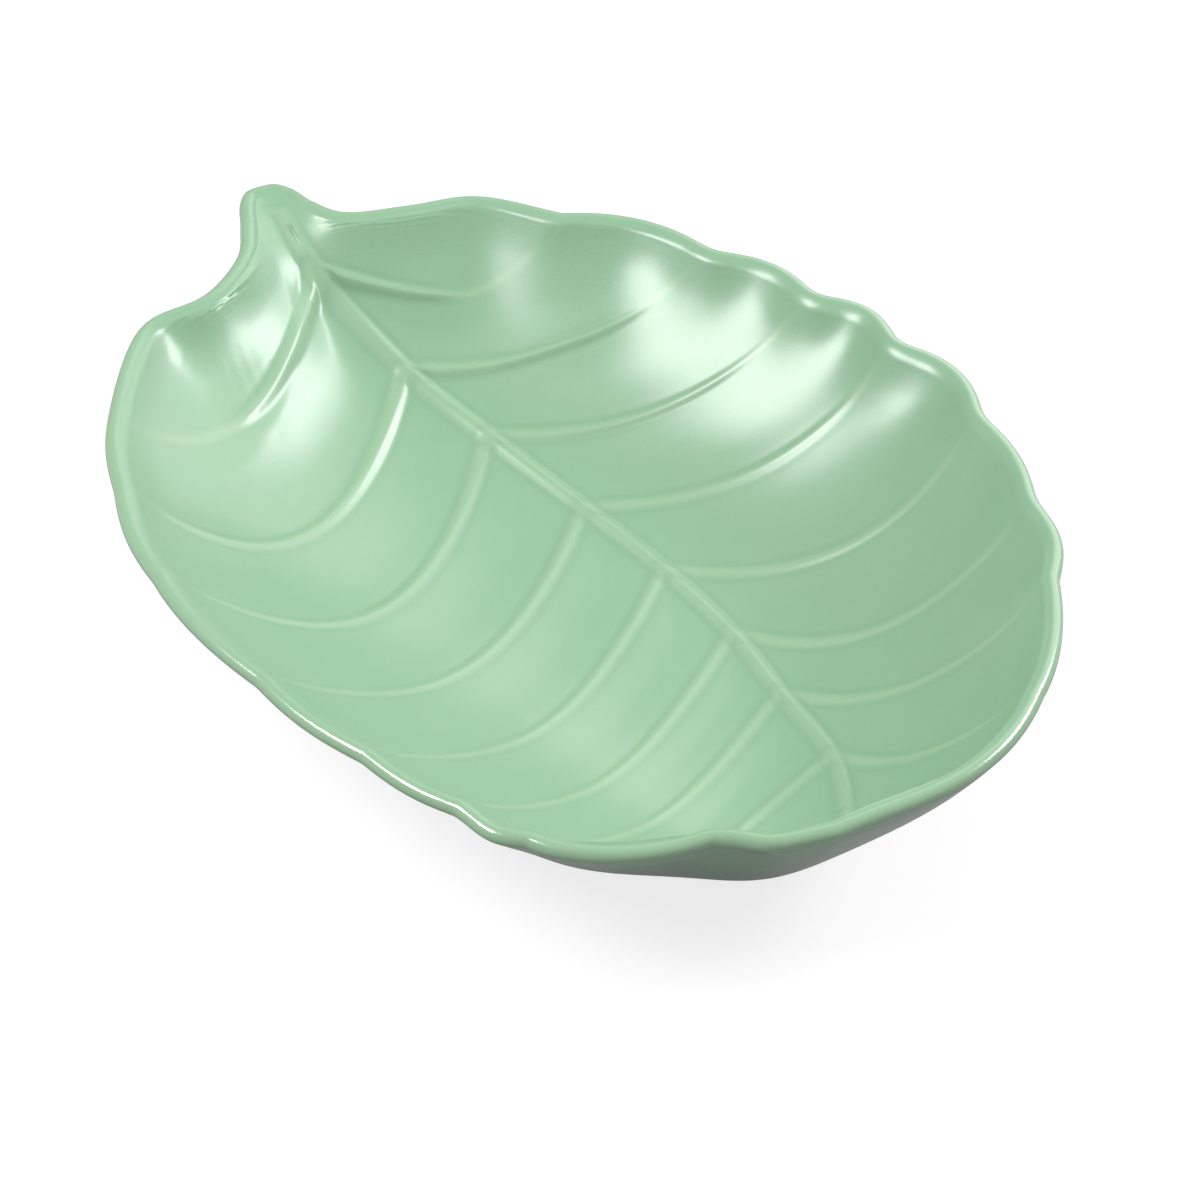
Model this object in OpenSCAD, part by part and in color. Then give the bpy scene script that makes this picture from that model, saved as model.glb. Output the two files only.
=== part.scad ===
// Leaf shaped serving dish: one deep leaf with a curved midrib, paired side veins, a waved rim
// and a short stem, standing on a low oval foot ring. X runs from stem to tip, Z is up.

/* [Leaf] */
// Length of the leaf from the cut end of its stem to its tip
leaf_length = 262; // [200:1:320]
// Width of the leaf across its two blades
leaf_width = 200; // [150:1:250]

/* [Bowl] */
// Height of the rim above the table
rim_height = 48; // [36:1:62]
// How far in from the rim the curved wall reaches before the floor is flat
wall_reach = 70; // [55:1:85]
// Thickness of the shell
shell_wall = 4; // [3:0.5:6]

/* [Veins] */
// Height of the midrib above the blade
midrib_height = 1.5; // [0.5:0.1:3]
// Width of the midrib at its foot
midrib_width = 10.5; // [7:0.5:14]
// Height of a side vein above the blade
vein_height = 0.9; // [0.3:0.1:2]
// Width of a side vein at its foot
vein_width = 5; // [3:0.5:8]
// How far the blade swells between two side veins
pillow_height = 1; // [0:0.1:2]

/* [Rim wave] */
// How far the rim swings out between two side veins
wave_depth = 3.5; // [0:0.5:6]

/* [Foot] */
// Height of the foot ring
foot_height = 3; // [2:0.5:6]
// Width of the foot ring's band
foot_band = 4; // [3:0.5:8]
// Length of the foot ring
foot_length = 128; // [90:1:150]
// Breadth of the foot ring
foot_breadth = 84; // [60:1:100]

/* [Hidden] */

// The midrib in plan, from the stem to the tip, as shares of the leaf's length and width.
// A pair of side veins leaves each inner point.
spine_shares = [
    [0.045, 0], [0.103, 0.012], [0.203, 0.073], [0.290, 0.132], [0.405, 0.190],
    [0.510, 0.230], [0.613, 0.253], [0.703, 0.255], [0.803, 0.253], [0.885, 0.212], [0.971, 0.132]
];
// Half the outline on each side: round the stem to the end of the first vein
stem_right_shares = [
    [0, -0.006], [0.003, 0.016], [0.020, 0.034], [0.045, 0.046], [0.074, 0.075],
    [0.090, 0.150], [0.106, 0.235], [0.165, 0.315]
];
stem_left_shares = [
    [0, -0.006], [0.003, -0.026], [0.020, -0.042], [0.050, -0.057], [0.092, -0.085],
    [0.131, -0.150], [0.151, -0.245], [0.260, -0.340]
];
// then the ends of the second and later veins, and the tip
rim_right_shares = [
    [0.279, 0.450], [0.380, 0.524], [0.474, 0.570], [0.598, 0.594], [0.718, 0.575],
    [0.815, 0.530], [0.932, 0.420], [0.990, 0.290], [1, 0.115]
];
rim_left_shares = [
    [0.347, -0.376], [0.470, -0.392], [0.629, -0.352], [0.750, -0.295], [0.838, -0.238],
    [0.898, -0.188], [0.962, -0.010], [0.989, 0.045], [1, 0.115]
];
// Sideways bend of the side veins from stem to tip, as shares of each vein's length
bend_right_shares = [0, 0.21, 0.08, 0.13, 0.17, 0.27, 0.32, 0.33, 0.24, 0.05, 0];
bend_left_shares = [0, 0.28, 0.42, 0.40, 0.21, 0.13, 0.07, 0.03, -0.32, 0, 0];
// Where along each vein its bend is strongest
bend_place_right_shares = [0.60, 0.60, 0.60, 0.55, 0.60, 0.70, 0.60, 0.67, 0.62, 0.50, 0.50];
bend_place_left_shares = [0.60, 0.66, 0.82, 0.76, 0.60, 0.53, 0.50, 0.45, 0.75, 0.50, 0.50];
// Wave of the rim in each gap between two veins, as shares of the wave's depth
wave_right_shares = [0, 1.3, 1, 1.3, 1.4, 0.5, 0.6, 0.3, 0, 0];
wave_left_shares = [0, 0, 0.2, 0.3, 0.3, 0.3, 0.2, 1.2, 0, 0];
// Height of each side vein as a share of the full vein
ridge_right_shares = [0, 1, 1, 1, 1, 1, 1, 1, 1, 0.8, 0];
ridge_left_shares = [0, 1, 1, 1, 1, 1, 1, 1, 0.9, 0, 0];

// How far in the wall reaches from each vein's end, as shares of the wall's reach: it stands up
// more steeply round the tip
reach_right_shares = [1, 1, 1, 1, 1, 1, 1, 1, 0.91, 0.66, 0.57];
reach_left_shares = [1, 1.07, 1.07, 1.2, 1.2, 1.2, 1.15, 0.85, 0.49, 0.54, 0.57];

// Lines drawn across the blade in each gap between two veins, closer together at the veins
first_phase_shares = [0, 0.07, 0.14, 0.22, 0.30, 0.40, 0.50, 0.60, 0.70, 0.78, 0.85, 0.91, 0.955];
gap_phase_shares = [0, 0.05, 0.11, 0.24, 0.41, 0.59, 0.76, 0.89, 0.95];
// Steps of the midrib's own slope, as shares of its width, the most of a short line that the midrib
// takes, and the steps from there to the rim, round the lip and down the outside
rib_step_shares = [0.13, 0.3, 0.5];
rib_reach_share = 0.75;
blade_steps = 14;
lip_steps = 5;
wall_steps = 5;

pairs = len(spine_shares) - 1;
lines = [
    for (gap = [0 : pairs - 1]) for (phase = gap == 0 ? first_phase_shares : gap_phase_shares) gap + phase,
    pairs
];
last = len(lines) - 1;
round_count = 2 * last;
rings = len(rib_step_shares) + blade_steps;

lip_radius = shell_wall / 2;
lip_turn = 45;
floor_top = foot_height + shell_wall;
lip_inset = lip_radius * (1 + cos(lip_turn));
lip_top = rim_height - lip_radius * (1 - sin(lip_turn));

// A point of the leaf from its shares of the length and the width
function place(share) = [share.x * leaf_length, share.y * leaf_width];
function flip(v) = [v.y, -v.x];

// A smooth curve through a list, at any fractional index
function at_end(list, k) =
    k < 0 ? 2 * list[0] - list[1]
    : k > len(list) - 1 ? 2 * list[len(list) - 1] - list[len(list) - 2]
    : list[k];
function smooth(list, u) =
    let (k = min(floor(u), len(list) - 2), f = u - k)
    let (a = at_end(list, k - 1), b = list[k], c = list[k + 1], d = at_end(list, k + 2))
    (2 * b + (c - a) * f + (2 * a - 5 * b + 4 * c - d) * f * f + (3 * b - a - 3 * c + d) * f * f * f) / 2;
function straight(list, u) =
    let (k = min(floor(u), len(list) - 2), f = u - k) list[k] * (1 - f) + list[k + 1] * f;

spine_points = [for (s = spine_shares) place(s)];
stem_steps = len(stem_right_shares) - 1;
right_edge = [for (s = concat(stem_right_shares, rim_right_shares)) place(s)];
left_edge = [for (s = concat(stem_left_shares, rim_left_shares)) place(s)];

// Swing of the rim between two veins: round in the middle, tighter at the veins
function swing(t) = sin(180 * (t - floor(t)));
function edge_index(t) = t < 1 ? t * stem_steps : stem_steps + t - 1;
function edge_raw(side, t) = smooth(side > 0 ? right_edge : left_edge, edge_index(t));
normal_step = 0.02;
function edge_normal(side, t) =
    let (d = edge_raw(side, min(t + normal_step, pairs)) - edge_raw(side, max(t - normal_step, 0)))
    -side * flip(d) / norm(d);
function edge(side, t) =
    let (share = (side > 0 ? wave_right_shares : wave_left_shares)[min(floor(t), pairs - 1)])
    edge_raw(side, t) + edge_normal(side, t) * share * wave_depth * swing(t);

// The rim all round: up the right side from the stem to the tip, and back down the left side
function line_of(p) = p <= last ? p : round_count - p;
function side_of(p) = p <= last ? 1 : -1;
rim = [for (p = [0 : round_count - 1]) edge(side_of(p), lines[line_of(p)])];
function next(p) = (p + 1) % round_count;
function prev(p) = (p + round_count - 1) % round_count;
rim_out = [
    for (p = [0 : round_count - 1])
        let (d = rim[next(p)] - rim[prev(p)]) -flip(d) / norm(d)
];
inner = [for (p = [0 : round_count - 1]) rim[p] - lip_inset * rim_out[p]];
weights = [for (p = [0 : round_count - 1]) norm(inner[next(p)] - inner[prev(p)]) / 2];

// Distance in from the rim as a share of the wall's reach there, rounded off where two stretches of
// rim are about as near. Each stretch counts by its distance to this power, and the factor makes a
// long straight rim read true.
near_power = 6;
near_factor = 8 / (3 * PI);
reaches = [
    for (p = [0 : round_count - 1])
        wall_reach * straight(side_of(p) > 0 ? reach_right_shares : reach_left_shares, lines[line_of(p)])
];
function inset_share(q) =
    let (sum = [for (p = [0 : round_count - 1]) let (w = weights[p] / reaches[p])
        w / pow(max(norm(q - inner[p]) / reaches[p], w / 2), near_power)])
    pow(sum * [for (p = [0 : round_count - 1]) 1] * near_factor, -1 / (near_power - 1));
// Share of the wall climbed at a point of the blade, nought on the flat floor and one at the rim
function climb(q) = max(0, 1 - inset_share(q));
climb_power = 2;
function bowl_height(q) = floor_top + (lip_top - floor_top) * pow(climb(q), climb_power);

// Height of the midrib, the veins and the swelling between the veins. A vein fades out over this
// share of its length before the rim.
fade_share = 0.33;
function bump(x) = abs(x) >= 1 ? 0 : (1 + cos(180 * x)) / 2;
function ridge(side, t, along, gap_width) =
    let (near = round(t), share = (side > 0 ? ridge_right_shares : ridge_left_shares)[near])
    vein_height * share * bump((t - near) * gap_width / (vein_width / 2)) * min(1, (1 - along) / fade_share);
function swell(t, along) = pillow_height * swing(t) * sin(180 * along);

function spine_at(t) = smooth(spine_points, t);
function bend_at(side, t) = straight(side > 0 ? bend_right_shares : bend_left_shares, t);
function bend_place_at(side, t) =
    straight(side > 0 ? bend_place_right_shares : bend_place_left_shares, t);
function blade_share(j, reach) =
    let (foot = min(midrib_width / reach, rib_reach_share), ribs = len(rib_step_shares))
    j <= ribs ? foot * rib_step_shares[j - 1]
    : let (start = foot * rib_step_shares[ribs - 1]) start + (1 - start) * (j - ribs) / blade_steps;
function gap_at(side, t) =
    let (k = min(floor(t), pairs - 1))
    (norm(edge_raw(side, k + 1) - edge_raw(side, k)) + norm(spine_at(k + 1) - spine_at(k))) / 2;

function blade_point(p, j) =
    let (t = lines[line_of(p)], side = side_of(p), from = spine_at(t), to = inner[p])
    let (chord = to - from, reach = norm(chord))
    let (pull = from + bend_place_at(side, t) * chord + bend_at(side, t) * side * flip(chord))
    let (s = blade_share(j, reach))
    let (q = from * (1 - s) * (1 - s) + 2 * s * (1 - s) * pull + to * s * s)
    j == rings ? [to.x, to.y, lip_top]
    : [q.x, q.y, bowl_height(q)
        + midrib_height * bump(s * reach / (midrib_width / 2))
        + ridge(side, t, s, gap_at(side, t))
        + swell(t, s)];

// The rounded lip, from the inside over the top to the outside
function lip_point(p, k) =
    let (turn = 90 + lip_turn - 180 * k / lip_steps, out = lip_radius * (cos(turn) - 1))
    let (q = rim[p] + out * rim_out[p])
    [q.x, q.y, rim_height - lip_radius + lip_radius * sin(turn)];

// The flat underside is an oval, a little larger than the foot ring
base_centre_share = [0.535, 0.105];
base_centre = place(base_centre_share);
base_turn = 10;
base_margin = foot_band;
function oval(length, breadth, angle) =
    let (v = [length / 2 * cos(angle), breadth / 2 * sin(angle)])
    base_centre + [v.x * cos(base_turn) - v.y * sin(base_turn), v.x * sin(base_turn) + v.y * cos(base_turn)];
base_points = [
    for (q = inner)
        let (d = q - base_centre, along = d * [cos(base_turn), sin(base_turn)],
            across = d * [-sin(base_turn), cos(base_turn)])
        oval(foot_length + 2 * base_margin, foot_breadth + 2 * base_margin,
            atan2(across * foot_length, along * foot_breadth))
];

// The outside of the wall follows the inside at the shell's thickness
function wall_point(p, k) =
    let (share = k / wall_steps, q = inner[p] * (1 - share) + base_points[p] * share)
    let (up = k == 0 ? 1 : climb(q), steepest = climb_power * (lip_top - floor_top) / reaches[p])
    let (slope = atan(steepest * pow(up, climb_power - 1)))
    let (d = inner[p] - base_points[p], out = d / norm(d) * shell_wall * sin(slope))
    k == wall_steps ? [q.x, q.y, foot_height]
    : [q.x + out.x, q.y + out.y, bowl_height(q) - shell_wall * cos(slope)];

body_points = concat(
    [for (i = [0 : last]) let (q = spine_at(lines[i])) [q.x, q.y, bowl_height(q) + midrib_height]],
    [for (j = [1 : rings]) for (p = [0 : round_count - 1]) blade_point(p, j)],
    [for (k = [1 : lip_steps]) for (p = [0 : round_count - 1]) lip_point(p, k)],
    [for (k = [1 : wall_steps]) for (p = [0 : round_count - 1]) wall_point(p, k)]
);
all_rings = rings + lip_steps + wall_steps;
function corner(j, p) =
    j == 0 ? line_of(p % round_count) : last + 1 + (j - 1) * round_count + p % round_count;
body_faces = concat(
    [for (j = [0 : all_rings - 1]) for (p = [0 : round_count - 1])
        each [[corner(j, p), corner(j + 1, p + 1), corner(j, p + 1)],
            [corner(j, p), corner(j + 1, p), corner(j + 1, p + 1)]]],
    [[for (p = [round_count - 1 : -1 : 0]) corner(all_rings, p)]]
);

// The part's origin is the middle of its box, at table height
function middle(v) = (min(v) + max(v)) / 2;
origin = [middle([for (q = rim) q.x]), middle([for (q = rim) q.y]), 0];

module dish_body() {
    color("#a9d3ae")
        translate(-origin)
            polyhedron(body_points, body_faces, convexity = 6);
}

module oval_disc(grow, facets = 96) {
    polygon([for (k = [0 : facets - 1])
        oval(foot_length + 2 * grow, foot_breadth + 2 * grow, 360 * k / facets)]);
}

module foot_ring() {
    color("#d8d2c0")
        translate(-origin)
            linear_extrude(foot_height)
                difference() {
                    oval_disc(0);
                    oval_disc(-foot_band);
                }
}

dish_body();
foot_ring();
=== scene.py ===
# %% [markdown]
# A leaf shaped serving dish. The real one is a single moulding of fired clay under a soft green
# glaze: a deep leaf with a curved midrib, paired side veins and a waved rim, on a low oval foot.
# This lesson makes it in the order a pattern maker would. First the outline of the leaf, then
# the bowl under it, then the veins that are raised out of the blade, then the foot, and last
# the glaze, the bare clay and a plain studio.

# %% The frame and the plain tools
import bpy
import numpy as np
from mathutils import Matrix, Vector


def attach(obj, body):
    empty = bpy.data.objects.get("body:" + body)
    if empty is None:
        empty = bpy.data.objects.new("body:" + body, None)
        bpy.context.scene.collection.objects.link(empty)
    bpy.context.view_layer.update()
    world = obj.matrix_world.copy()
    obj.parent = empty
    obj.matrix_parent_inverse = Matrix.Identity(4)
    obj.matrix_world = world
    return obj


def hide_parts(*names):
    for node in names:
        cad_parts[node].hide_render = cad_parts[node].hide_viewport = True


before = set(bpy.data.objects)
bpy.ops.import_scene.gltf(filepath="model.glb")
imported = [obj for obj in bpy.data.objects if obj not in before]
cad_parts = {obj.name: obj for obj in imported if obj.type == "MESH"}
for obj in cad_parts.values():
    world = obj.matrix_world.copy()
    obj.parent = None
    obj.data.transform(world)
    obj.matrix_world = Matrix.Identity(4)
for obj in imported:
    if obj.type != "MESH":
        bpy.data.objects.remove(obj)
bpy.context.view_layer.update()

# %% [markdown]
# The camera stands about a metre off and looks down at 43 degrees over the tip of the leaf, with
# a long lens, so the dish shows hardly any perspective. Making it first means that every look at
# the work is already from the right place.

# %% Camera
MM = 0.001
CAMERA_PLACE, CAMERA_TARGET = (663.1, -314.5, 692.1), (20.3, -0.9, 23)
SENSOR_MM, LENS_MM = 36, 126


def aim(thing, place, target):
    """Puts a camera or lamp at place, looking at target, both in millimetres."""
    thing.location = Vector(place) * MM
    way = (Vector(target) - Vector(place)).to_track_quat("-Z", "Y")
    thing.rotation_euler = way.to_euler()


camera_data = bpy.data.cameras.new("long_lens")
camera_data.sensor_width = SENSOR_MM
camera_data.lens = LENS_MM
camera = bpy.data.objects.new("camera", camera_data)
bpy.context.collection.objects.link(camera)
aim(camera, CAMERA_PLACE, CAMERA_TARGET)
bpy.context.scene.camera = camera
print("camera", [round(c, 3) for c in camera.location])

# %% [markdown]
# The sizes are those of the solid model, in millimetres. The tables hold the leaf's drawing as
# shares of its length and width. The midrib has a point for each pair of side veins, and the
# outline has, on each side, a few points round the stem and then one for the end of each vein.
# The other tables have an entry for each point of the midrib: how far the vein there bends, where
# along it the bend sits, and with what share of its usual reach the wall comes in from the rim.
# The waves have an entry for each gap between two of those points.

# %% Sizes of the dish
LEAF_LENGTH, LEAF_WIDTH = 262, 200
RIM_HEIGHT, WALL_REACH, SHELL_WALL = 48, 70, 4
FOOT_HEIGHT, FOOT_BAND, FOOT_LENGTH, FOOT_BREADTH = 3, 4, 128, 84
WAVE_DEPTH = 3.5

SPINE = [(0.045, 0), (0.103, 0.012), (0.203, 0.073), (0.290, 0.132), (0.405, 0.190), (0.510, 0.230),
         (0.613, 0.253), (0.703, 0.255), (0.803, 0.253), (0.885, 0.212), (0.971, 0.132)]
STEM_RIGHT = [(0, -0.006), (0.003, 0.016), (0.020, 0.034), (0.045, 0.046), (0.074, 0.075),
              (0.090, 0.150), (0.106, 0.235), (0.165, 0.315)]
STEM_LEFT = [(0, -0.006), (0.003, -0.026), (0.020, -0.042), (0.050, -0.057), (0.092, -0.085),
             (0.131, -0.150), (0.151, -0.245), (0.260, -0.340)]
RIM_RIGHT = [(0.279, 0.450), (0.380, 0.524), (0.474, 0.570), (0.598, 0.594), (0.718, 0.575),
             (0.815, 0.530), (0.932, 0.420), (0.990, 0.290), (1, 0.115)]
RIM_LEFT = [(0.347, -0.376), (0.470, -0.392), (0.629, -0.352), (0.750, -0.295), (0.838, -0.238),
            (0.898, -0.188), (0.962, -0.010), (0.989, 0.045), (1, 0.115)]
BEND_RIGHT = [0, 0.21, 0.08, 0.13, 0.17, 0.27, 0.32, 0.33, 0.24, 0.05, 0]
BEND_LEFT = [0, 0.28, 0.42, 0.40, 0.21, 0.13, 0.07, 0.03, -0.32, 0, 0]
BEND_PLACE_RIGHT = [0.60, 0.60, 0.60, 0.55, 0.60, 0.70, 0.60, 0.67, 0.62, 0.50, 0.50]
BEND_PLACE_LEFT = [0.60, 0.66, 0.82, 0.76, 0.60, 0.53, 0.50, 0.45, 0.75, 0.50, 0.50]
WAVE_RIGHT = [0, 1.3, 1, 1.3, 1.4, 0.5, 0.6, 0.3, 0, 0]
WAVE_LEFT = [0, 0, 0.2, 0.3, 0.3, 0.3, 0.2, 1.2, 0, 0]
REACH_RIGHT = [1, 1, 1, 1, 1, 1, 1, 1, 0.91, 0.66, 0.57]
REACH_LEFT = [1, 1.07, 1.07, 1.2, 1.2, 1.2, 1.15, 0.85, 0.49, 0.54, 0.57]
PAIRS = len(SPINE) - 1
print("side veins in pairs:", PAIRS - 1, "leaf", LEAF_LENGTH, "x", LEAF_WIDTH, "mm")

# %% [markdown]
# A drawn leaf is a handful of points with smooth curves between them. A Catmull-Rom curve goes
# through its points, so a point that is moved moves the leaf just there. The outline swings out
# between two veins and is drawn in where a vein ends, which is what makes the waved rim.

# %% The outline
def smooth(points, u):
    """A smooth curve through points, at each fractional index in u."""
    points = np.asarray(points, float)
    ends = np.vstack([2 * points[0] - points[1], points, 2 * points[-1] - points[-2]])
    k = np.minimum(np.floor(u).astype(int), len(points) - 2)
    f = (u - k)[:, None]
    a, b, c, d = (ends[k + i] for i in range(4))
    squared, cubed = 2 * a - 5 * b + 4 * c - d, 3 * b - a - 3 * c + d
    return (2 * b + (c - a) * f + squared * f**2 + cubed * f**3) / 2


def placed(*tables):
    """The points of one or more tables of shares, in millimetres."""
    return np.vstack([np.array(t, float) for t in tables]) * (LEAF_LENGTH, LEAF_WIDTH)


def edge_raw(side, t):
    """The outline without its waves, on the right (1) or left (-1), at vein number t."""
    points = placed(STEM_RIGHT, RIM_RIGHT) if side > 0 else placed(STEM_LEFT, RIM_LEFT)
    steps = len(STEM_RIGHT) - 1
    return smooth(points, np.where(t < 1, t * steps, steps + t - 1))


BESIDE = 0.02       # how far on either side the outline's direction is measured


def edge(side, t):
    """The outline with its waves."""
    d = edge_raw(side, np.minimum(t + BESIDE, PAIRS)) - edge_raw(side, np.maximum(t - BESIDE, 0))
    normal = -side * np.c_[d[:, 1], -d[:, 0]] / np.linalg.norm(d, axis=1)[:, None]
    share = np.array(WAVE_RIGHT if side > 0 else WAVE_LEFT)[np.minimum(t.astype(int), PAIRS - 1)]
    swing = share * WAVE_DEPTH * np.sin(np.pi * (t - np.floor(t)))
    return edge_raw(side, t) + normal * swing[:, None]


print("outline points:", len(placed(STEM_RIGHT, RIM_RIGHT)), "and", len(placed(STEM_LEFT, RIM_LEFT)))

# %% [markdown]
# The whole dish is built on lines that run across the leaf, like the veins. Evenly spread lines
# would do, but a vein is narrow and the swelling beside it is wide, so the lines gather at the
# veins and leave the swellings with fewer.

# %% Where the lines meet the rim
STEM_LINES, GAP_LINES = 56, 28
GATHER = 0.09       # how strongly the lines gather at the veins


def line_numbers():
    """Vein numbers of the lines drawn across the blade, closer together at the veins."""
    gaps = []
    for gap in range(PAIRS):
        count = STEM_LINES if gap == 0 else GAP_LINES
        u = np.arange(count) / count
        gaps.append(gap + u - GATHER * np.sin(2 * np.pi * u))
    return np.append(np.concatenate(gaps), PAIRS)


half = line_numbers()
LAST = len(half) - 1
ROUND = 2 * LAST
t_of = np.concatenate([half, half[-2:0:-1]])
side_of = np.where(np.arange(ROUND) <= LAST, 1, -1)
rim = np.vstack([edge(1, half), edge(-1, half[-2:0:-1])])
print("lines round the rim:", ROUND)

# %% [markdown]
# Clay and glaze round every corner a little, so the rim and the direction that it faces are
# averaged over a few millimetres of its length. The inside edge of the rim lies in from it by the
# lip's width. The waves belong to the rim and not to the bowl, so the bowl follows a calm line,
# which runs through the middle of the waves and takes the corner of the left lobe more roundly.

# %% Soft corners and the lip
LIP_RADIUS = SHELL_WALL / 2
LIP_INSET = LIP_RADIUS * (1 + np.cos(np.radians(45)))
LIP_TOP = RIM_HEIGHT - LIP_RADIUS * (1 - np.sin(np.radians(45)))
FLOOR_TOP = FOOT_HEIGHT + SHELL_WALL
# reaches of the averages in millimetres: of any corner, the rim's direction, the waves' valleys,
# and the calm line along the waves and at the left lobe
CORNER_SOFT, FACING_SOFT, VALLEY_SOFT, WAVES_CALM, LOBE_CALM = 0.9, 2.2, 3.5, 14, 12


def averaged(values, reach):
    """Values round the rim, averaged with a soft window of this reach in millimetres."""
    step = np.linalg.norm(np.roll(rim, -1, 0) - rim, axis=1)
    place = np.concatenate([[0], np.cumsum(step)[:-1]])
    apart = np.abs(place[:, None] - place[None, :])
    apart = np.minimum(apart, step.sum() - apart)
    weight = np.exp(-((apart / reach) ** 2)) * (step + np.roll(step, 1))
    return weight @ values / weight.sum(1)[:, None]


def facing(outline):
    """The direction out of an outline at each of its points."""
    along = np.roll(outline, -1, 0) - np.roll(outline, 1, 0)
    out = np.c_[-along[:, 1], along[:, 0]]
    out = averaged(out / np.linalg.norm(out, axis=1)[:, None], FACING_SOFT)
    return out / np.linalg.norm(out, axis=1)[:, None]


# shares, from nought to one, of being on the waved rim and at the left lobe
waved = (np.interp(t_of, [1, 1.4, 6, 7], [0, 1, 1, 0]) * (side_of > 0))[:, None]
at_lobe = (np.interp(t_of, [0.66, 0.84, 1.3, 2.5], [0, 1, 1, 0]) * (side_of < 0))[:, None]
rim = averaged(rim, CORNER_SOFT)
rim += (averaged(rim, VALLEY_SOFT) - rim) * waved
calm_rim = averaged(np.vstack([edge_raw(1, half), edge_raw(-1, half[-2:0:-1])]), CORNER_SOFT)
through_waves, round_lobe = averaged(rim, WAVES_CALM), averaged(calm_rim, LOBE_CALM)
calm_rim += (through_waves - calm_rim) * waved + (round_lobe - calm_rim) * at_lobe
rim_out = facing(rim)
inner = rim - LIP_INSET * rim_out
calm = calm_rim - LIP_INSET * facing(calm_rim)
middle = (rim.max(0) + rim.min(0)) / 2
print("rim box", (rim.max(0) - rim.min(0)).round(2), "mm")

# %% [markdown]
# The bowl is deepest where the rim is farthest away. Each point's distance to the rim is a soft
# one, to which every stretch of rim adds a little, so the wall has no crease where two sides of
# the rim are equally near. It is counted in shares of the wall's reach there, because the wall
# stands up more steeply round the tip, and the wall climbs with the square of its share.

# %% The bowl
RULE_SOFT_MM = 1.6      # how near the rule's distance still tells places apart
BLOCK = 4000            # points worked out at once, to save memory


def table_at(table_right, table_left):
    """A table of shares read at every line, straight between its entries."""
    at = [np.interp(t_of, np.arange(PAIRS + 1), t) for t in (table_right, table_left)]
    return np.where(side_of > 0, at[0], at[1])


wall_reach = WALL_REACH * table_at(REACH_RIGHT, REACH_LEFT)


def beside_rim(q, reach, least, values):
    """Soft distance of each point from the calm line, in shares of reach, and values blended there."""
    weight = np.linalg.norm(np.roll(calm, -1, 0) - np.roll(calm, 1, 0), axis=1) / 2 / reach
    near = np.maximum(weight, least) / 2
    total, blended = np.empty(len(q)), np.empty((len(q), values.shape[1]))
    for a in range(0, len(q), BLOCK):
        far2 = ((q[a:a + BLOCK, None, :] - calm[None]) ** 2).sum(2) / reach**2
        share = weight / np.maximum(far2, near**2) ** 3
        total[a:a + BLOCK] = share.sum(1)
        blended[a:a + BLOCK] = share @ values / share.sum(1)[:, None]
    # beside a long straight rim these shares add up to 3 pi / 8 over the distance's fifth power
    return (total * 8 / (3 * np.pi)) ** -0.2, blended


def climb(q):
    """Share of the wall climbed at the points q, nought on the floor and nearly one at the rim."""
    return np.maximum(0, 1 - beside_rim(q, wall_reach, RULE_SOFT_MM / WALL_REACH, calm)[0])


def bowl_height(q):
    """Height of the inside before its veins are raised, in millimetres."""
    return FLOOR_TOP + (LIP_TOP - FLOOR_TOP) * climb(q) ** 2


print("wall reach", wall_reach.min().round(1), "to", wall_reach.max().round(1), "mm")

# %% [markdown]
# Every line runs from the midrib out to the calm line with one bend, as the side veins of a leaf
# do. Nine of them on the right and eight on the left are veins. The lines into the stem fan out
# from one place, so that none of them lies along the midrib.

# %% Lines across the blade
FAN_START, FAN_SPREAD = 0.34, 0.03      # in vein numbers along the midrib

spine_at = smooth(placed(SPINE), np.maximum(t_of, FAN_START + FAN_SPREAD * t_of))
chord = calm - spine_at
bend = table_at(BEND_RIGHT, BEND_LEFT)
bend_place = table_at(BEND_PLACE_RIGHT, BEND_PLACE_LEFT)
aside = (bend * side_of)[:, None] * np.c_[chord[:, 1], -chord[:, 0]]
pull = spine_at + bend_place[:, None] * chord + aside


def along_lines(share, line=slice(None)):
    """The points at this share of the way out along every line, or along one line."""
    near, bent = spine_at[line] * (1 - share) ** 2, 2 * share * (1 - share) * pull[line]
    return near + bent + calm[line] * share**2


print("longest line", round(float(np.linalg.norm(chord, axis=1).max()), 1), "mm")

# %% [markdown]
# Near the rim the rule's soft distance stops just short, so the last millimetres are eased up to
# the lip, and the inside swings out to the waves over the last of the wall. At the stem's end it
# is filled up almost to the lip. Beside the stem on the left the wall turns a corner, which the
# mould maker has rubbed round: each height there is the mean over its own place and two rings of
# places round it.

# %% From the bowl to the lip
EASE_MM = 7                             # how far below the lip the easing begins
WAVE_FADE_MM, CALM_FADE_MM = 20, 26     # how far in it swings, at the waves and elsewhere
# the stem's filled end: how long it is level, how long it slopes, and how far it is below the lip
STEM_FLAT_MM, STEM_SLOPE_MM, STEM_BELOW_LIP = 8, 28, 1.2
# the left lobe: its place, how far round it the wall is rubbed, and how widely
LOBE, LOBE_REACH_MM, LOBE_SOFT_MM = (46, -48), 50, 24
RUB_GROWS = 2.5                         # how fast the rubbing grows towards the lobe
RUB_TO_RIM = 0.95                       # its largest share of the way to the rim
RUB_LEAST_MM = 0.3                      # under this it makes no difference


def inside_height(q):
    """Height of the blade, which is filled up almost to the lip at the stem's end."""
    fill = np.clip(1 - (q[:, 0] - STEM_FLAT_MM) / STEM_SLOPE_MM, 0, 1)
    z = bowl_height(q)
    return z + (LIP_TOP - STEM_BELOW_LIP - z) * fill**2 * (3 - 2 * fill)


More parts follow.
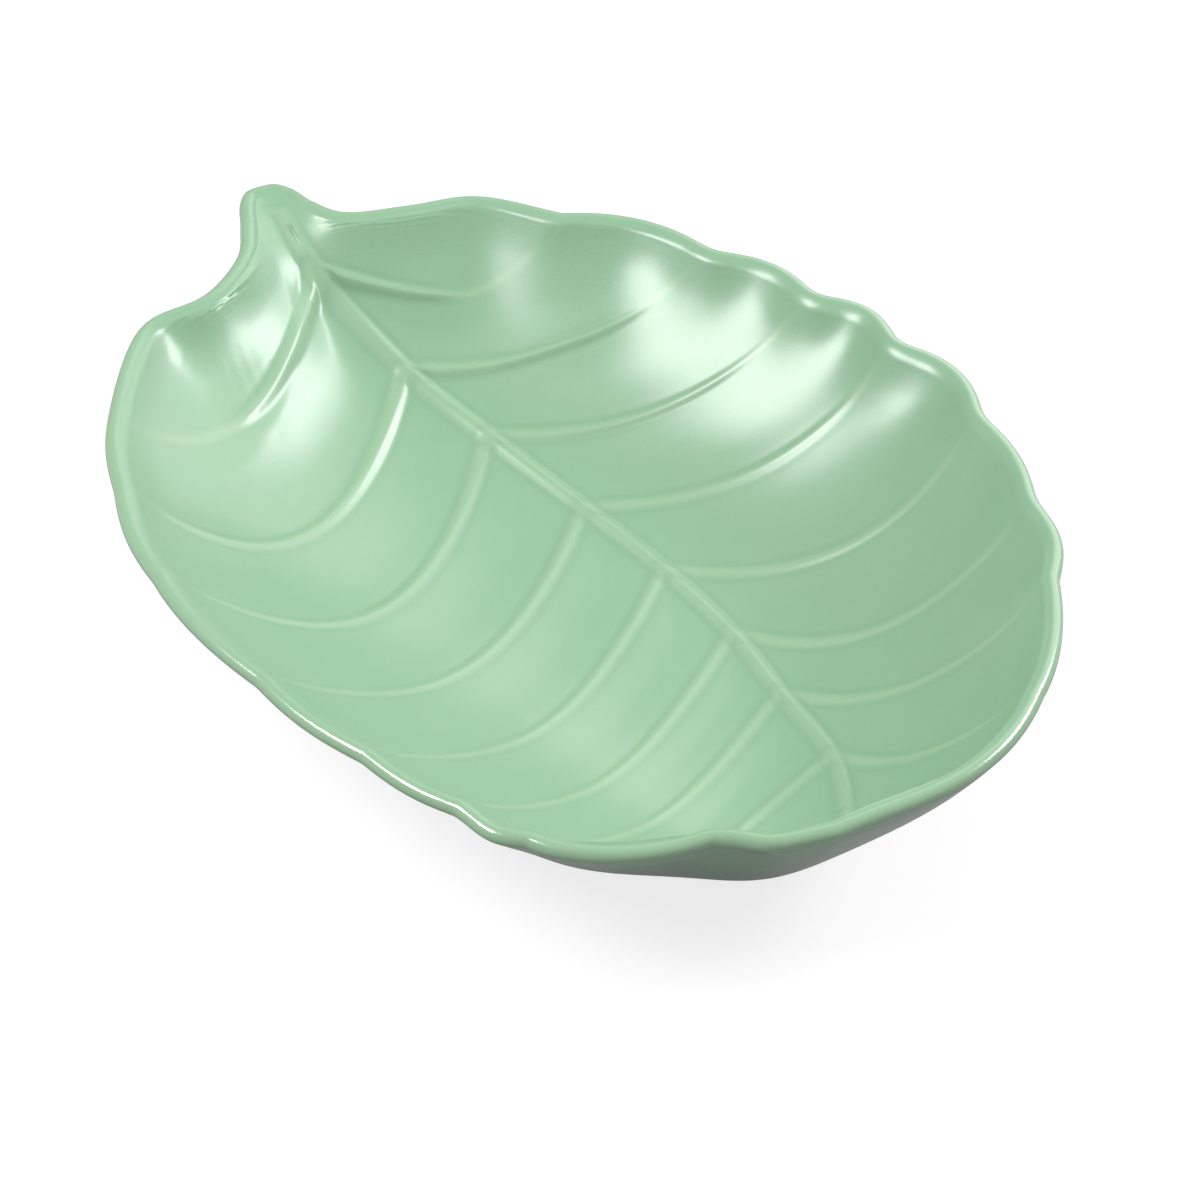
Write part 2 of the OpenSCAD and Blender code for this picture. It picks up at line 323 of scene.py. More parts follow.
short = LIP_TOP - inside_height(calm)
fade = CALM_FADE_MM + (WAVE_FADE_MM - CALM_FADE_MM) * waved[:, 0]


def to_lip(q):
    """Points moved out with the rim's waves, the height they lack, and their distance from the rim."""
    away, blended = beside_rim(q, np.ones(ROUND), RULE_SOFT_MM, np.c_[inner - calm, short, fade])
    away = np.maximum(away - RULE_SOFT_MM / 2, 0)
    near = np.clip(1 - away / blended[:, 3], 0, 1)
    q = q + blended[:, :2] * (near**2 * (3 - 2 * near))[:, None]
    return q, blended[:, 2] * np.clip(1 - away / EASE_MM, 0, 1) ** 2, away


def inside_at(q):
    """The inside's points over the places q, and their distances from the rim."""
    z = inside_height(q)
    moved, lacking, to_rim = to_lip(q)
    turning = np.clip(1 - np.linalg.norm(q - LOBE, axis=1) / LOBE_REACH_MM, 0, 1)
    rub = np.minimum(LOBE_SOFT_MM * np.minimum(1, RUB_GROWS * turning), RUB_TO_RIM * to_rim)
    there = rub > RUB_LEAST_MM
    if there.any():
        eighths = np.arange(8) * np.pi / 4
        around = [(0.0, 0.0)] + [(k * np.cos(a), k * np.sin(a)) for k in (0.5, 1) for a in eighths]
        beside = [q[there] + rub[there, None] * step for step in around]
        z[there] = np.mean([inside_height(places) for places in beside], 0)
    return np.c_[moved, z + lacking], to_rim


print("height still lacking at the rim:", short.min().round(2), "to", short.max().round(2), "mm")

# %% [markdown]
# A sheet that is sculpted or subdivided has edges that run anywhere. Here the blade is a net of
# the lines and of rings across them, so the edges run along the veins and keep them crisp. The
# rings lie closer together towards the midrib. What is still open between the net and the lip is
# closed over the last millimetres.

# %% The blade's net
BLADE_STEPS = 84
CLOSING_MM = 6
EVEN, GROWING = 0.55, 0.45              # parts of the rings' spacing
grow = np.arange(1, BLADE_STEPS + 1) / BLADE_STEPS
share_out = EVEN * grow + GROWING * grow**2
blade, to_rim = inside_at(np.vstack([along_lines(share) for share in share_out]))
blade = blade.reshape(BLADE_STEPS, ROUND, 3)
closing = (np.clip(1 - to_rim / CLOSING_MM, 0, 1) ** 2).reshape(BLADE_STEPS, ROUND, 1)
blade += (np.c_[inner, np.full(ROUND, LIP_TOP)] - blade[-1]) * closing / closing[-1]
spine = inside_at(spine_at[:LAST + 1])[0]
print("blade points", BLADE_STEPS * ROUND, "lowest", round(float(blade[:, :, 2].min()), 2), "mm")

# %% [markdown]
# The outside of a moulded dish follows its inside at the thickness of the clay. A Solidify
# modifier would make an outside too, but with the veins pressed through it and no flat base. So it
# is worked out from the bowl's own rule: from the lip's half circle the wall runs in and down to a
# flat oval base, which is a little larger than the foot.

# %% Lip, outside and base
LIP_STEPS, WALL_STEPS = 10, 30
GATHER_UNDER_LIP = 1.15                 # the wall's rings lie a little closer together there
BASE_CENTRE = np.array([0.535 * LEAF_LENGTH, 0.105 * LEAF_WIDTH])
BASE_TURN = np.radians(10)
BASE_X = np.array([np.cos(BASE_TURN), np.sin(BASE_TURN)])
BASE_Y = np.array([-np.sin(BASE_TURN), np.cos(BASE_TURN)])


def oval(length, breadth, angle):
    """Points of the base's oval at these angles."""
    along, across = length / 2 * np.cos(angle), breadth / 2 * np.sin(angle)
    return BASE_CENTRE + np.outer(along, BASE_X) + np.outer(across, BASE_Y)


lip = []
for k in range(1, LIP_STEPS + 1):
    turn = np.radians(135 - 180 * k / LIP_STEPS)
    q = rim + LIP_RADIUS * (np.cos(turn) - 1) * rim_out
    lip.append(np.c_[q, np.full(ROUND, RIM_HEIGHT - LIP_RADIUS + LIP_RADIUS * np.sin(turn))])

from_centre = calm - BASE_CENTRE
base_angle = np.arctan2(from_centre @ BASE_Y * FOOT_LENGTH, from_centre @ BASE_X * FOOT_BREADTH)
base = oval(FOOT_LENGTH + 2 * FOOT_BAND, FOOT_BREADTH + 2 * FOOT_BAND, base_angle)
inwards = base - calm
outwards = -inwards / np.linalg.norm(inwards, axis=1)[:, None]
steepest = 2 * (LIP_TOP - FLOOR_TOP) / wall_reach
wall = []
for k in range(1, WALL_STEPS + 1):
    s = (k / WALL_STEPS) ** GATHER_UNDER_LIP
    q = calm + inwards * s
    slope = np.arctan(steepest * climb(q))
    z = bowl_height(q) - SHELL_WALL * np.cos(slope)
    q = to_lip(q)[0] + outwards * (SHELL_WALL * np.sin(slope))[:, None]
    wall.append(np.c_[q, np.maximum(z, FOOT_HEIGHT)])
level = np.full(ROUND, FOOT_HEIGHT)
wall[-1] = np.c_[base, level]
cap = [np.c_[BASE_CENTRE + (base - BASE_CENTRE) * s, level] for s in (0.9, 0.6, 0.3)]
print("rings outside:", len(lip) + len(wall) + len(cap))

# %% [markdown]
# All the rings together become one closed mesh: the midrib inside, the blade, the lip, the wall
# and the base. Neighbouring rings are joined by faces of four corners, and a face that would have
# the same corner twice, as at the midrib's ends, keeps it once. One helper makes a mesh from
# points in millimetres, and the foot and the floor use it too.

# %% The dish's points and faces
def mesh_object(name, points, faces, attributes):
    """A smooth shaded mesh, its points given in millimetres, with a value for each point and name."""
    mesh = bpy.data.meshes.new(name)
    mesh.from_pydata((np.asarray(points) * MM).tolist(), [], [list(f) for f in faces])
    for key, values in attributes.items():
        stored = mesh.attributes.new(key, "FLOAT", "POINT")
        stored.data.foreach_set("value", np.asarray(values, np.float32))
    mesh.shade_smooth()
    made = bpy.data.objects.new(name, mesh)
    bpy.context.collection.objects.link(made)
    return made


rings = list(blade) + lip + wall + cap
points = np.vstack([spine] + rings + [np.c_[BASE_CENTRE[None], FOOT_HEIGHT]])
points[:, :2] -= middle


def corner(j, p):
    """The point of ring j on line p; ring 0 is the midrib, whose points both sides share."""
    p = p % ROUND
    if j == 0:
        return p if p <= LAST else ROUND - p
    return LAST + 1 + (j - 1) * ROUND + p


faces = []
for j in range(len(rings)):
    for p in range(ROUND):
        face = [corner(j, p), corner(j, p + 1), corner(j + 1, p + 1), corner(j + 1, p)]
        faces.append([v for i, v in enumerate(face) if v != face[i - 1]])
centre = len(points) - 1
faces += [[centre, corner(len(rings), p), corner(len(rings), p + 1)] for p in range(ROUND)]
print("rings:", len(rings), "faces:", len(faces))

# %% [markdown]
# Each point remembers two values in attributes. One is how much of the blade's relief it takes,
# which fades out before the lip. The other is how far round the lip to the outside it is, because
# the glaze changes from satin to gloss there.

# %% The dish as a mesh
RELIEF_FADE_MM = 9      # how far below the lip the relief is whole again
blade_points = LAST + 1 + BLADE_STEPS * ROUND
relief = np.zeros(len(points))
relief[:LAST + 1] = 1
relief[LAST + 1:blade_points] = np.clip(to_rim / RELIEF_FADE_MM, 0, 1)
outside = np.zeros(len(points))
outside[blade_points:] = 1
lip_points = slice(blade_points, blade_points + LIP_STEPS * ROUND)
outside[lip_points] = np.repeat(np.linspace(0, 1, LIP_STEPS), ROUND)
base_mesh = mesh_object("dish", points, faces, {"relief": relief, "outside": outside})
print("dish mesh:", len(points), "points,", sum(len(f) - 2 for f in faces), "triangles")

# %% [markdown]
# Veins can be sculpted by hand or painted as a height map. Here they follow paths over the blade,
# drawn as fine chains of points, and Geometry Nodes raise the surface along them, so the width,
# the height and the end of each vein stay plain numbers. Each point of a chain carries how wide
# and how tall its vein is there.

# %% Chains of points
def chain(plans, widths, heights):
    """Points, edges and sizes of some chains; each plan is a list of places in millimetres."""
    places, links, wide, tall = [], [], [], []
    for plan, width, height in zip(plans, widths, heights):
        first = len(places)
        places += list(inside_at(plan)[0] - (*middle, 0))
        links += [(k, k + 1) for k in range(first, len(places) - 1)]
        wide += list(width)
        tall += list(height)
    return places, links, wide, tall


def path_object(name, places, links, wide, tall):
    """A chain of edges that carries its veins' half widths and heights, in metres."""
    mesh = bpy.data.meshes.new(name)
    mesh.from_pydata((np.array(places) * MM).tolist(), links, [])
    for key, values in (("half_width", np.array(wide) / 2), ("height", np.array(tall))):
        stored = mesh.attributes.new(key, "FLOAT", "POINT")
        stored.data.foreach_set("value", (values * MM).astype(np.float32))
    return bpy.data.objects.new(name, mesh)


print("lines that can carry a vein:", ROUND)

# %% [markdown]
# The midrib begins with a rounded end near the stem, bent a little to the left, and slims towards
# the tip.

# %% The midrib's path
MIDRIB_POINTS = 400
MIDRIB_START, START_POINTS = (-2.4, -2.8), 20
midrib_plan = smooth(placed(SPINE), np.linspace(0, PAIRS, MIDRIB_POINTS))
start = midrib_plan[0] + np.outer(np.linspace(1, 0, START_POINTS, endpoint=False), MIDRIB_START)
midrib_plan = np.vstack([start, midrib_plan])
# the midrib's width and height in millimetres, at shares of its length
way = np.linspace(0, 1, len(midrib_plan))
midrib_wide = np.interp(way, [0, 0.05, 0.14, 0.25, 0.45, 1], [4.5, 6.6, 7.2, 6.4, 5.8, 5])
midrib_tall = np.interp(
    way, [0, 0.04, 0.14, 0.25, 0.45, 0.92, 1], [0.45, 0.95, 1.2, 1.05, 0.85, 0.7, 0])
midrib_path = path_object("midrib_path", *chain([midrib_plan], [midrib_wide], [midrib_tall]))
print("midrib points:", len(midrib_plan))

# %% [markdown]
# A side vein follows one of the lines across the blade. It starts broad at the midrib and fades
# out before the rim, the first and the last ones soonest.

# %% The side veins' paths
VEIN_POINTS = 220
# width and height of each side vein at the midrib in millimetres, and the share at which it ends
RIGHT_VEINS = [(6, 1.1, 0.56), (5.6, 0.75, 0.80), (5.4, 0.6, 0.89), (5.4, 0.5, 0.91),
               (5.4, 0.42, 0.88), (5.4, 0.42, 0.82), (5.4, 0.42, 0.74), (5.4, 0.42, 0.74),
               (5, 0.4, 0.58)]
LEFT_VEINS = [(8, 1.0, 0.60), (6.6, 0.9, 0.94), (5.8, 0.65, 0.94), (5.4, 0.55, 0.95),
              (5.2, 0.5, 0.94), (5.2, 0.5, 0.95), (5.2, 0.5, 0.91), (5.2, 0.5, 0.60)]
plans, widths, heights = [], [], []
for side, veins in ((1, RIGHT_VEINS), (-1, LEFT_VEINS)):
    for number, (wide, tall, end) in enumerate(veins, 1):
        line = int(np.argmin(np.abs(t_of - number) + (side_of != side) * PAIRS))
        share = np.linspace(0, 1, VEIN_POINTS)
        plans.append(along_lines(share[:, None], line))
        widths.append(wide * np.interp(share, [0, 0.3 * end, end, 1], [1, 0.9, 0.6, 0.6]))
        falls_at = [0, 0.35 * end, 0.75 * end, end, 1]
        heights.append(tall * np.interp(share, falls_at, [1, 0.9, 0.6, 0, 0]))
vein_path = path_object("vein_path", *chain(plans, widths, heights))
print("side veins:", len(plans))

# %% [markdown]
# One helper makes every node, in the tree that raises the veins and in the materials, so each
# node is one line with its settings and its inputs. Some of these are shared by several nodes.

# %% One helper for every node
SOFTLY = {"interpolation_type": "SMOOTHSTEP"}
FALLING = {"To Min": 1.0, "To Max": 0.0}


def add_node(tree, kind, settings=None, inputs=None, out=0):
    """Adds a node with its settings, sets or links its inputs, and gives one of its outputs."""
    node = tree.nodes.new(kind)
    for key, value in (settings or {}).items():
        setattr(node, key, value)
    for key, value in (inputs or {}).items():
        if isinstance(value, bpy.types.NodeSocket):
            tree.links.new(value, node.inputs[key])
        else:
            node.inputs[key].default_value = value
    return node.outputs[out]


print("shared settings:", SOFTLY, FALLING)

# %% [markdown]
# The tree takes the plain bowl, the two sets of paths and the sizes of what runs beside every
# vein: a narrow dip along its foot, where the mould's cutter went in, and a wide skirt, because
# between the veins the blade is slightly hollow.

# %% The tree's sockets
RELIEF_SIZES = {"Dip depth": 0.05, "Dip width": 1.6, "Skirt height": 0.4, "Skirt reach": 12.0}
tree = bpy.data.node_groups.new("raise_the_veins", "GeometryNodeTree")
tree.interface.new_socket("Geometry", in_out="INPUT", socket_type="NodeSocketGeometry")
for name, size in RELIEF_SIZES.items():
    socket = tree.interface.new_socket(name, in_out="INPUT", socket_type="NodeSocketFloat")
    socket.default_value = size * MM
sockets = {name: tree.interface.new_socket(name, in_out="INPUT", socket_type=kind) for name, kind in (
    ("Midrib path", "NodeSocketObject"), ("Vein paths", "NodeSocketObject"),
    ("Finish", "NodeSocketMaterial"))}
tree.interface.new_socket("Geometry", in_out="OUTPUT", socket_type="NodeSocketGeometry")
given = tree.nodes.new("NodeGroupInput").outputs
print("sockets:", len(tree.interface.items_tree))

# %% [markdown]
# For every point of the bowl the tree finds how far away the nearest path is, and that path's half
# width and height. A ridge falls from its crest to nought at the half width along a soft curve.
# The dip lies round that half width, and dip and skirt fade with their vein.

# %% What a set of paths gives
FULL_RELIEF_MM = 0.5    # a vein this tall has its whole dip and skirt


def raised_along(path):
    """Share and height of the ridge along a set of paths, and the shares of its dip and skirt."""
    lines = add_node(tree, "GeometryNodeObjectInfo", {}, {"Object": path}, "Geometry")
    away = add_node(tree, "GeometryNodeProximity", {"target_element": "EDGES"}, {
        "Target": lines}, "Distance")
    nearest = add_node(tree, "GeometryNodeSampleNearest", {}, {"Geometry": lines})
    sizes = []
    for name in ("half_width", "height"):
        stored = add_node(tree, "GeometryNodeInputNamedAttribute", {}, {"Name": name})
        sizes.append(add_node(tree, "GeometryNodeSampleIndex", {}, {
            "Geometry": lines, "Value": stored, "Index": nearest}))
    ridge = add_node(tree, "ShaderNodeMapRange", SOFTLY, {
        "Value": away, "From Max": sizes[0], **FALLING})
    height = add_node(tree, "ShaderNodeMath", {"operation": "MULTIPLY"}, {0: ridge, 1: sizes[1]})
    past = add_node(tree, "ShaderNodeMath", {"operation": "SUBTRACT"}, {0: away, 1: sizes[0]})
    past = add_node(tree, "ShaderNodeMath", {"operation": "ABSOLUTE"}, {0: past})
    dip = add_node(tree, "ShaderNodeMapRange", SOFTLY, {
        "Value": past, "From Max": given["Dip width"], **FALLING})
    skirt = add_node(tree, "ShaderNodeMapRange", SOFTLY, {
        "Value": away, "From Max": given["Skirt reach"], **FALLING})
    raised = add_node(tree, "ShaderNodeMapRange", {}, {
        "Value": sizes[1], "From Max": FULL_RELIEF_MM * MM})
    dip = add_node(tree, "ShaderNodeMath", {"operation": "MULTIPLY"}, {0: dip, 1: raised})
    skirt = add_node(tree, "ShaderNodeMath", {"operation": "MULTIPLY"}, {0: skirt, 1: raised})
    return {"ridge": ridge, "height": height, "dip": dip, "skirt": skirt}


midrib, vein = raised_along(given["Midrib path"]), raised_along(given["Vein paths"])
print("tree nodes for the paths:", len(tree.nodes))

# %% [markdown]
# Where a side vein meets the midrib the higher of the two wins, softly. A side vein rises between the
# wall's own direction and straight up, and the midrib straight up. The ridges and dips are also
# stored, because the glaze's colour is made paler on the ridges and darker in the dips, partly for a
# glaze that is thin on one and thick in the other and partly as painted highlight and painted shade.

# %% The surface raised
JOIN_MM = 0.4           # how softly a side vein runs into the midrib
LEAN, STRAIGHT_UP = 0.4, 30.0           # how much straight up counts, on the blade and the midrib
height = add_node(tree, "ShaderNodeMath", {"operation": "SMOOTH_MAX"}, {
    0: midrib["height"], 1: vein["height"], 2: JOIN_MM * MM})
masks = {name: add_node(tree, "ShaderNodeMath", {"operation": "MAXIMUM"}, {
    0: midrib[name], 1: vein[name]}) for name in ("ridge", "dip", "skirt")}
for name, size, way_up in (("dip", "Dip depth", "SUBTRACT"), ("skirt", "Skirt height", "ADD")):
    part = add_node(tree, "ShaderNodeMath", {"operation": "MULTIPLY"}, {
        0: masks[name], 1: given[size]})
    height = add_node(tree, "ShaderNodeMath", {"operation": way_up}, {0: height, 1: part})
relief_share = add_node(tree, "GeometryNodeInputNamedAttribute", {}, {"Name": "relief"})
height = add_node(tree, "ShaderNodeMath", {"operation": "MULTIPLY"}, {0: height, 1: relief_share})
normal = add_node(tree, "GeometryNodeInputNormal")
lean = add_node(tree, "ShaderNodeMath", {"operation": "MULTIPLY_ADD"}, {
    0: midrib["ridge"], 1: STRAIGHT_UP, 2: LEAN})
lean = add_node(tree, "ShaderNodeCombineXYZ", {}, {"Z": lean})
upward = add_node(tree, "ShaderNodeVectorMath", {"operation": "ADD"}, {0: normal, 1: lean})
upward = add_node(tree, "ShaderNodeVectorMath", {"operation": "NORMALIZE"}, {0: upward})
offset = add_node(tree, "ShaderNodeVectorMath", {"operation": "SCALE"}, {
    "Vector": upward, "Scale": height})
flow = add_node(tree, "GeometryNodeSetPosition", {}, {
    "Geometry": given["Geometry"], "Offset": offset})
# the ridge and dip masks are stored for the glaze, which paints a highlight on the ridges and shade in
# the dips
for name in ("ridge", "dip"):
    share = add_node(tree, "ShaderNodeMath", {"operation": "MULTIPLY"}, {
        0: masks[name], 1: relief_share})
    flow = add_node(tree, "GeometryNodeStoreNamedAttribute", {"domain": "POINT"}, {
        "Geometry": flow, "Name": name, "Value": share})
flow = add_node(tree, "GeometryNodeRealizeInstances", {}, {"Geometry": flow})
flow = add_node(tree, "GeometryNodeSetMaterial", {}, {
    "Geometry": flow, "Material": given["Finish"]})
tree.links.new(flow, tree.nodes.new("NodeGroupOutput").inputs[0])
print("tree nodes:", len(tree.nodes))

# %% [markdown]
# Colours are picked on the screen as sRGB, but light adds up in linear numbers, so one function
# turns the one into the other. A second one starts a material.

# %% Colours and a material helper
def linear(hex_colour):
    """An sRGB hex colour as linear RGBA."""
    c = np.array([int(hex_colour[i:i + 2], 16) for i in (1, 3, 5)]) / 255
    c = np.where(c <= 0.04045, c / 12.92, ((c + 0.055) / 1.055) ** 2.4)
    return (*c, 1.0)


def new_material(name):
    """A new material, its node tree and its Principled shader."""
    material = bpy.data.materials.new(name)
    material.use_nodes = True
    return material, material.node_tree, material.node_tree.nodes["Principled BSDF"]


print("middle grey as linear light:", round(float(linear("#808080")[0]), 3))

# %% [markdown]
# The glaze is a celadon: a clear green glass fired over pale clay. It was poured over the dish, so its
# thickness changes slowly. Its colour is made paler and yellower on the ridges and the lip, partly for
# glaze that ran thin there and partly as a painted highlight on the ridges' crests and a painted sheen
# on the lip. It is made darker in the dips beside the veins, partly for glaze that settled there and
# partly as painted shade. It could be painted as a picture, but masks that are stored with the shape
# follow every vein exactly.

# %% The glaze's colour
GRAIN_MM, GRAIN_DEPTH_MM = 0.7, 0.08    # the satin skin's grain, a little coarse so that it shows
CLOUD_MM = 38                           # slow changes of the glaze's thickness
RIPPLE_MM, RIPPLE_DEPTH_MM = 9, 0.25    # the slight unevenness of a poured glaze
glaze, glaze_tree, shader = new_material("celadon_glaze")
on_dish = add_node(glaze_tree, "ShaderNodeTexCoord", out="Object")
ridge, dip, outside_share = (
    add_node(glaze_tree, "ShaderNodeAttribute", {"attribute_name": name}, out="Fac")
    for name in ("ridge", "dip", "outside"))
grain, cloud, ripple = (add_node(glaze_tree, "ShaderNodeTexNoise", {}, {
    "Vector": on_dish, "Scale": 1 / (size * MM), "Detail": detail, "Roughness": 0.5})
    for size, detail in ((GRAIN_MM, 2.0), (CLOUD_MM, 3.0), (RIPPLE_MM, 2.0)))
# the top of the lip, which the colour below makes paler, partly as a painted sheen
at_lip = add_node(glaze_tree, "ShaderNodeMath", {"operation": "PINGPONG"}, {
    0: outside_share, 1: 0.5})
colour = add_node(glaze_tree, "ShaderNodeMix", {"data_type": "RGBA"}, {
    0: cloud, 6: linear("#7fab88"), 7: linear("#8bb290")}, out=2)
# where the colour is made paler or darker, partly for thin and settled glaze and partly as painted
# highlight on the ridges, painted sheen on the lip and painted shade in the dips: how strongly, and to
# which colour
BREAKS_AND_PAINTED_LIGHT = ((ridge, 0.28, "#b2cda6"), (dip, 0.3, "#6f9d78"), (at_lip, 0.9, "#a8c8a2"))
for mask, strength, hex_colour in BREAKS_AND_PAINTED_LIGHT:
    share = add_node(glaze_tree, "ShaderNodeMath", {"operation": "MULTIPLY"}, {
        0: mask, 1: strength})
    colour = add_node(glaze_tree, "ShaderNodeMix", {"data_type": "RGBA"}, {
        0: share, 6: colour, 7: linear(hex_colour)}, out=2)
glaze_tree.links.new(colour, shader.inputs["Base Color"])
print("glaze nodes for the colour:", len(glaze_tree.nodes))

# %% [markdown]
# The inside has a satin skin with a fine grain, as a glaze gets that cools slowly. It shows as
# sparkle at the border of each highlight. The lip and the outside were fired glossy, so the one
# material goes from satin to gloss round the lip. A slight ripple is left from the pouring, and
# the clear glass on top adds the broad, whiter shine.

# %% The glaze's skin
satin = add_node(glaze_tree, "ShaderNodeMapRange", {}, {
    "Value": grain, "To Min": 0.48, "To Max": 0.6})
gloss = add_node(glaze_tree, "ShaderNodeMapRange", {}, {
    "Value": cloud, "To Min": 0.06, "To Max": 0.10})
to_gloss = add_node(glaze_tree, "ShaderNodeMapRange", {}, {
    "Value": outside_share, "From Min": 0.05, "From Max": 0.3})
rough = add_node(glaze_tree, "ShaderNodeMix", {"data_type": "FLOAT"}, {
    0: to_gloss, 2: satin, 3: gloss})
glaze_tree.links.new(rough, shader.inputs["Roughness"])
skin = add_node(glaze_tree, "ShaderNodeBump", {}, {
    "Height": grain, "Strength": 0.6, "Distance": GRAIN_DEPTH_MM * MM})
skin = add_node(glaze_tree, "ShaderNodeBump", {}, {
    "Height": ripple, "Normal": skin, "Strength": 0.25, "Distance": RIPPLE_DEPTH_MM * MM})
glaze_tree.links.new(skin, shader.inputs["Normal"])
shader.inputs["IOR"].default_value = 1.55
shader.inputs["Coat Weight"].default_value = 1.0
shader.inputs["Coat Roughness"].default_value = 0.26
print("glaze nodes:", len(glaze_tree.nodes))

# %% [markdown]
# The tree goes on the plain bowl as a modifier and is worked out once. What comes out is kept as
# an ordinary mesh that holds the masks, so the dish no longer needs the bowl and the paths, and
# they are removed.

# %% Raise the veins and bake the dish
veins = base_mesh.modifiers.new("raise_the_veins", "NODES")
veins.node_group = tree
for name, thing in (("Midrib path", midrib_path), ("Vein paths", vein_path), ("Finish", glaze)):
    veins[sockets[name].identifier] = thing
seen = base_mesh.evaluated_get(bpy.context.evaluated_depsgraph_get())
baked = bpy.data.meshes.new_from_object(seen)
dish = bpy.data.objects.new("glazed_dish", baked)
bpy.context.collection.objects.link(dish)
for helper in (base_mesh, midrib_path, vein_path):
    bpy.data.objects.remove(helper)
dish.data.shade_smooth()
print("dish baked:", len(baked.vertices), "points")

# %% [markdown]
# On such a dish the foot is wiped clean of glaze before firing, so it doesn't stick to the kiln
# shelf, and it shows the bare clay: stoneware that was pressed, dried and fired, dull, pale and
# faintly speckled with sand. One noise gives the specks both their colour and their bumps.

# %% Bare clay
SPECK_MM, SPECK_DEPTH_MM = 0.8, 0.15    # the sand in the clay
clay, clay_tree, clay_shader = new_material("bare_stoneware")
on_foot = add_node(clay_tree, "ShaderNodeTexCoord", out="Object")
speck = add_node(clay_tree, "ShaderNodeTexNoise", {}, {
    "Vector": on_foot, "Scale": 1 / (SPECK_MM * MM), "Detail": 4.0, "Roughness": 0.7})
clay_colour = add_node(clay_tree, "ShaderNodeMix", {"data_type": "RGBA"}, {
    0: speck, 6: linear("#c9bfa9"), 7: linear("#ddd5c2")}, out=2)
clay_tree.links.new(clay_colour, clay_shader.inputs["Base Color"])
clay_shader.inputs["Roughness"].default_value = 0.85
clay_skin = add_node(clay_tree, "ShaderNodeBump", {}, {
    "Height": speck, "Strength": 0.5, "Distance": SPECK_DEPTH_MM * MM})
clay_tree.links.new(clay_skin, clay_shader.inputs["Normal"])
print("clay nodes:", len(clay_tree.nodes))

# %% [markdown]
# The foot is a low oval band, and its corners were softly rounded by the sponge that wiped them.
# A curve with a bevel would make the band too, but its section is simpler to give point by point.

# %% The foot
FOOT_POINTS = 220
# the band's section, for a band 4 mm wide and 3 mm high: millimetres in from its outside, and up
profile = [(0.0, 3.0), (0.0, 1.5), (0.05, 0.8), (0.25, 0.3), (0.65, 0.05), (1.1, 0.0), (2.0, 0.0),
           (2.9, 0.0), (3.35, 0.05), (3.75, 0.3), (3.95, 0.8), (4.0, 1.5), (4.0, 3.0)]
angles = np.linspace(0, 2 * np.pi, FOOT_POINTS, endpoint=False)
foot_rings = []
for inset, z in profile:
    q = oval(FOOT_LENGTH - 2 * inset, FOOT_BREADTH - 2 * inset, angles) - middle
    foot_rings.append(np.c_[q, np.full(FOOT_POINTS, z * FOOT_HEIGHT / 3)])
count = len(foot_rings)
foot_faces = []
for k in range(count):
    for p in range(FOOT_POINTS):
        n = (p + 1) % FOOT_POINTS
        m = (k + 1) % count
        foot_faces.append([ring * FOOT_POINTS + q for ring, q in ((k, p), (m, p), (m, n), (k, n))])
foot = mesh_object("bare_foot", np.vstack(foot_rings), foot_faces, {})
foot.data.materials.append(clay)
print("foot mesh:", len(foot_faces), "faces")

# %% [markdown]
# Photographs for a shop are cut out on white. The dish stands on a large floor of matt grey paper,
# which is lifted to white for the camera's own rays and keeps the dish's shadow. Reflections see
# it lifted only a little, so the outside of the dish stays dark under its rim.

# %% Floor
FLOOR_MM = 3000
LIFT_SEEN, LIFT_MIRRORED = 0.78, 0.1
corners = [(x * FLOOR_MM, y * FLOOR_MM, 0) for x, y in ((-1, -1), (1, -1), (1, 1), (-1, 1))]
floor = mesh_object("floor", corners, [(0, 1, 2, 3)], {})
paper, paper_tree, paper_shader = new_material("white_paper")
paper_shader.inputs["Base Color"].default_value = linear("#8c8c8c")
paper_shader.inputs["Roughness"].default_value = 0.9
rays = [add_node(paper_tree, "ShaderNodeLightPath", out=ray) for ray in (
    "Is Camera Ray", "Is Glossy Ray", "Is Transmission Ray")]
others = add_node(paper_tree, "ShaderNodeMath", {"operation": "ADD"}, {0: rays[1], 1: rays[2]})
others = add_node(paper_tree, "ShaderNodeMath", {"operation": "MULTIPLY"}, {
    0: others, 1: LIFT_MIRRORED})
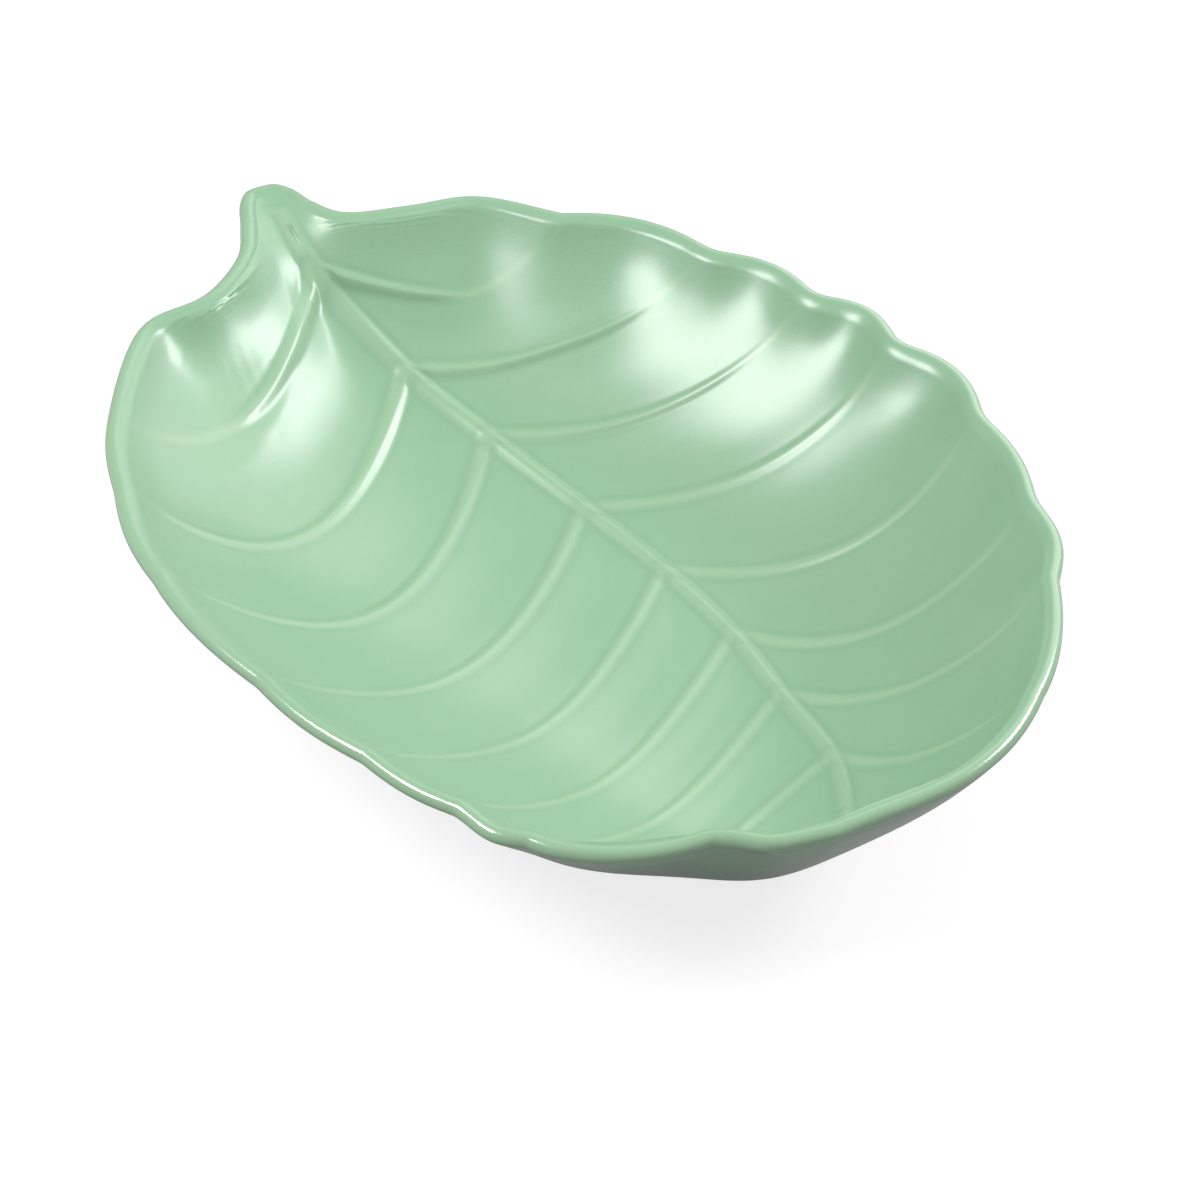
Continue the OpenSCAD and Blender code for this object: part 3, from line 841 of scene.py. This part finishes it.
lift = add_node(paper_tree, "ShaderNodeMath", {"operation": "MULTIPLY_ADD"}, {
    0: rays[0], 1: LIFT_SEEN, 2: others})
paper_tree.links.new(lift, paper_shader.inputs["Emission Strength"])
paper_shader.inputs["Emission Color"].default_value = (1, 1, 1, 1)
floor.data.materials.append(paper)
print("floor", 2 * FLOOR_MM, "mm wide")

# %% [markdown]
# Three soft boxes and an even white surround light the dish. The key box on the right draws the
# highlights beside the stem, the wide fill box behind it lights the dish's floor, and the far box
# on the left draws the broad highlight on the wall across from it.

# %% Lamps
def soft_box(name, place, target, width, tall, power):
    """A rectangular lamp, its place in millimetres."""
    data = bpy.data.lights.new(name, "AREA")
    data.shape = "RECTANGLE"
    data.size, data.size_y, data.energy = width * MM, tall * MM, power
    lamp = bpy.data.objects.new(name, data)
    bpy.context.collection.objects.link(lamp)
    aim(lamp, place, target)
    return lamp


LAMP_FAR, LAMP_TARGET, SURROUND = 1000, (0, 0, 20), 0.4
# each box's direction and height in degrees, its width and height in millimetres, and its watts
BOXES = [("key_box", 79, 36, 480, 270, 6.1), ("fill_box", 118, 31, 900, 850, 3.2),
         ("far_box", -100, 51, 450, 315, 7.2)]
for name, azimuth, height_angle, width, tall, power in BOXES:
    turn, up = np.radians(azimuth), np.radians(height_angle)
    place = LAMP_FAR * np.array([np.cos(up) * np.cos(turn), np.cos(up) * np.sin(turn), np.sin(up)])
    soft_box(name, place, LAMP_TARGET, width, tall, power)
world = bpy.data.worlds.new("even_white")
world.use_nodes = True
world.node_tree.nodes["Background"].inputs["Color"].default_value = (1, 1, 1, 1)
world.node_tree.nodes["Background"].inputs["Strength"].default_value = SURROUND
bpy.context.scene.world = world
bpy.context.scene.view_settings.view_transform = "Standard"
print("soft boxes:", len(BOXES))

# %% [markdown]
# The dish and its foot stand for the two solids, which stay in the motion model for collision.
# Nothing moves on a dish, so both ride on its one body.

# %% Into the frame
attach(dish, "root")
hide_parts("dish_body")
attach(foot, "root")
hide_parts("foot_ring")
print("shown:", dish.name, "and", foot.name)
